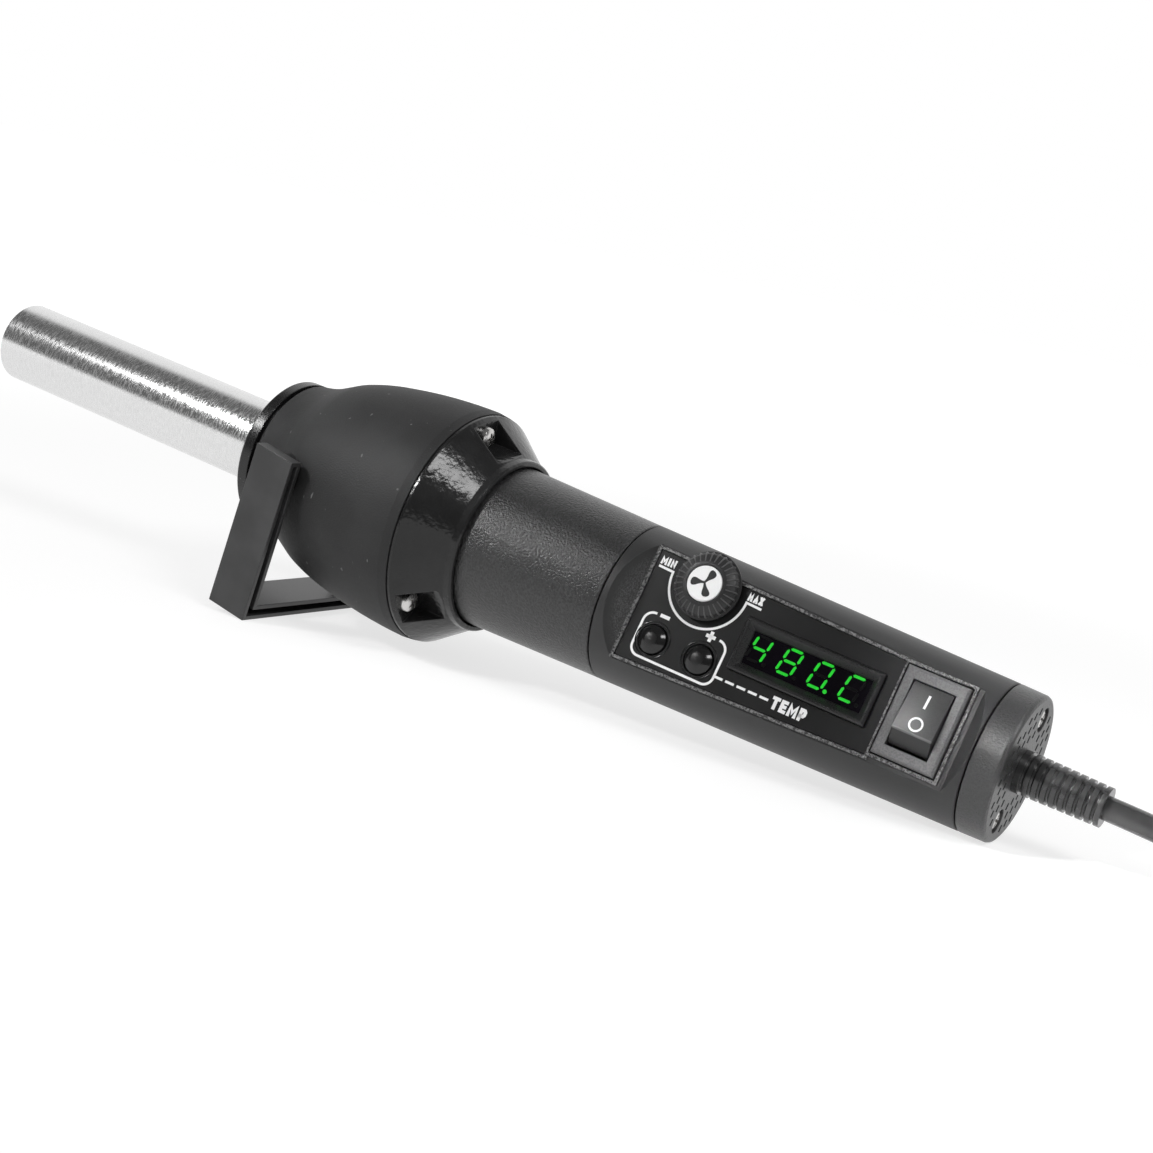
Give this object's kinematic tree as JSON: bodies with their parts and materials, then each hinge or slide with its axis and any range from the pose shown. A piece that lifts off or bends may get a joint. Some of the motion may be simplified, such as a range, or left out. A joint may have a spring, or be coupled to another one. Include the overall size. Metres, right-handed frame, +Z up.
{
  "type": "digital hot air gun",
  "caption": "Slim hand-held hot air gun: steel nozzle tube, bell housing with fan, grip with digital control panel, fold-out U stand and mains cord.",
  "frame": {"origin": "on the bench, under the middle of the object without its cord", "axes": "+X from the nozzle to the cord along the bench, +Y away from the control panel, +Z up"},
  "size_m": [0.5419, 0.084, 0.0649],
  "materials": {
    "steel_tube": "circumferentially brushed stainless steel",
    "mica": "matte mica sheet",
    "heater_ceramic": "unglazed ceramic",
    "heating_wire": "oxidised resistance wire",
    "probe_steel": "satin steel sheath",
    "black_satin": "satin black moulding",
    "bell_black": "fine matte black moulding",
    "plate_steel": "plain steel sheet",
    "screw_steel": "bright plated steel",
    "shroud_black": "plain black moulding",
    "impeller_white": "plain natural moulding",
    "motor_steel": "plated steel can",
    "gloss_black": "high gloss black moulding",
    "grip_black": "spark eroded black moulding",
    "housing_black": "matte black moulding",
    "fascia_black": "printed satin black overlay",
    "bezel_black": "satin black moulding",
    "display_filter": "smoked clear filter",
    "display_module": "black display block",
    "knob_black": "satin black moulding",
    "white_print": "white printed cap",
    "pot_body": "moulded body",
    "button_black": "glossy black dome",
    "switch_black": "moulded body",
    "rocker_grey": "fine textured black moulding",
    "rocker_paddle": "satin black moulding",
    "brass": "plain brass",
    "circuit_green": "green solder mask",
    "ferrite": "ferrite core and taped winding",
    "capacitor_sleeve": "shrunk sleeve",
    "fuse_glass": "clear tube with plated caps",
    "lead_sleeve": "silicone sleeved leads",
    "cap_black": "matte black moulding",
    "cord_rubber": "flexible black moulding",
    "cord_sheath": "glossy black cord sheath",
    "stand_black": "satin black moulding",
    "pin_plating": "plated brass"
  },
  "bodies": {
    "tool": {"nozzle_tube": "steel_tube", "mica_sleeve": "mica", "heater_core": "heater_ceramic", "heater_coils": "heating_wire", "thermocouple": "probe_steel", "terminal_disc": "heater_ceramic", "collar_ring": "black_satin", "front_bell": "bell_black", "tube_clamp_plate": "plate_steel", "clamp_screws": "screw_steel", "fan_shroud": "shroud_black", "motor_can": "motor_steel", "rear_flange": "gloss_black", "bell_screws": "screw_steel", "grip_sleeve": "grip_black", "control_housing": "housing_black", "control_fascia": "fascia_black", "display_bezel": "bezel_black", "display_window": "display_filter", "display_module": "display_module", "potentiometer": "pot_body", "tact_switches": "switch_black", "rocker_frame": "rocker_grey", "rocker_body": "switch_black", "rocker_terminals": "brass", "main_board": "circuit_green", "board_screws": "screw_steel", "board_spacers": "brass", "mains_board": "circuit_green", "transformer": "ferrite", "capacitor": "capacitor_sleeve", "fuse": "fuse_glass", "triac": "switch_black", "lead_harness": "lead_sleeve", "end_cap": "cap_black", "end_cap_screws": "screw_steel", "strain_relief": "cord_rubber", "cord_inner_end": "cord_sheath", "cord_clamp": "shroud_black", "mains_cord": "cord_sheath", "cord_tail": "cord_sheath", "cord_coil": "cord_sheath", "plug_body": "cord_rubber", "plug_pins": "pin_plating"},
    "fan": {"fan_impeller": "impeller_white", "motor_shaft": "probe_steel"},
    "knob": {"knob": "knob_black", "knob_cap": "white_print", "pot_shaft": "probe_steel"},
    "minus_button": {"minus_button": "button_black"},
    "plus_button": {"plus_button": "button_black"},
    "rocker": {"rocker_paddle": "rocker_paddle"},
    "stand": {"stand": "stand_black"}
  },
  "joints": [
    {"name": "stand_fold", "type": "hinge", "parent": "tool", "child": "stand", "pos_m": [-0.04721, 0, 0.03934], "axis": [0, 1, 0], "range_deg": [-8, 48]},
    {"name": "knob_turn", "type": "hinge", "parent": "tool", "child": "knob", "pos_m": [0.06574, -0.00962, 0.03867], "axis": [0.0322, -0.9511, 0.3073], "range_deg": [-140, 140]},
    {"name": "minus_press", "type": "slide", "parent": "tool", "child": "minus_button", "axis": [-0.0322, 0.9511, -0.3073], "range_m": [0, 0.0005], "stiffness_N_per_m": 2500, "springref_m": -0.0003},
    {"name": "plus_press", "type": "slide", "parent": "tool", "child": "plus_button", "axis": [-0.0322, 0.9511, -0.3073], "range_m": [0, 0.0005], "stiffness_N_per_m": 2500, "springref_m": -0.0003},
    {"name": "rocker_tilt", "type": "hinge", "parent": "tool", "child": "rocker", "pos_m": [0.12295, -0.01032, 0.02333], "axis": [0.9945, 0, -0.1043], "range_deg": [0, 20]},
    {"name": "fan_spin", "type": "hinge", "parent": "tool", "child": "fan", "pos_m": [-0.02504, 0, 0.03501], "axis": [0.9945, 0, -0.1043], "continuous": true}
  ]
}
